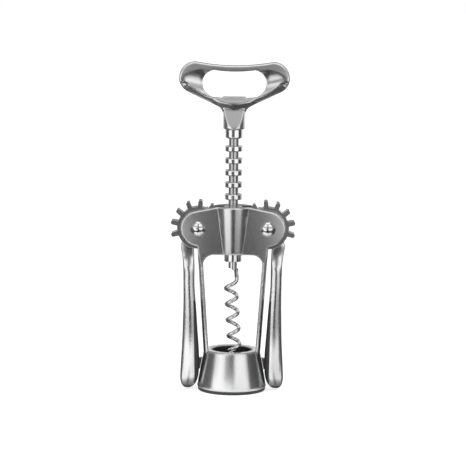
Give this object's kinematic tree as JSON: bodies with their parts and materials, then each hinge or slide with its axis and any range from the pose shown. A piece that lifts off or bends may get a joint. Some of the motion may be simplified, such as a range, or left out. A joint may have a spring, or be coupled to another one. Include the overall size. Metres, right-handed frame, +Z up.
{
  "type": "wing corkscrew",
  "caption": "Wing corkscrew with geared levers, ringed rack, wound steel worm, bell with a black neck liner, and a lobed handle that doubles as a bottle-cap lifter.",
  "frame": {"origin": "centre of the bell's foot, on the surface that it stands on", "axes": "+Z up along the rack and worm, X from the left lever to the right lever, front faces -Y"},
  "size_m": [0.0722, 0.04, 0.1915],
  "materials": {
    "satin_casting": "satin plating on a zinc casting",
    "polished_steel": "mirror chrome",
    "worm_steel": "polished spring steel",
    "black_plastic": "black, satin",
    "washer_plastic": "natural nylon"
  },
  "bodies": {
    "frame": {"frame_casting": "satin_casting", "neck_liner": "black_plastic", "left_pivot_pin": "polished_steel", "right_pivot_pin": "polished_steel", "left_pin_cap": "polished_steel", "right_pin_cap": "polished_steel", "left_front_washer": "washer_plastic", "left_rear_washer": "washer_plastic", "right_front_washer": "washer_plastic", "right_rear_washer": "washer_plastic"},
    "left_wing": {"left_lever": "satin_casting", "left_grip_insert": "black_plastic"},
    "right_wing": {"right_lever": "satin_casting", "right_grip_insert": "black_plastic"},
    "carriage": {"stop_collar": "polished_steel"},
    "screw": {"rack_shaft": "polished_steel", "worm": "worm_steel", "worm_pin": "polished_steel", "handle": "satin_casting", "handle_pin": "polished_steel"}
  },
  "joints": [
    {"name": "left_wing_swing", "type": "hinge", "parent": "frame", "child": "left_wing", "pos_m": [-0.0202, 0, 0.0955], "axis": [0, 1, 0], "range_deg": [0, 150]},
    {"name": "right_wing_swing", "type": "hinge", "parent": "frame", "child": "right_wing", "pos_m": [0.0202, 0, 0.0955], "axis": [0, -1, 0], "range_deg": [0, 150]},
    {"name": "rack_slide", "type": "slide", "parent": "frame", "child": "carriage", "axis": [0, 0, -1], "range_m": [0, 0.03792]},
    {"name": "handle_turn", "type": "hinge", "parent": "carriage", "child": "screw", "pos_m": [0, 0, 0.15], "axis": [0, 0, 1], "continuous": true}
  ],
  "couplings": [
    {"joint": "right_wing_swing", "follows": "left_wing_swing", "ratio": 1},
    {"joint": "rack_slide", "follows": "left_wing_swing", "m_per_rad": 0.014483}
  ]
}
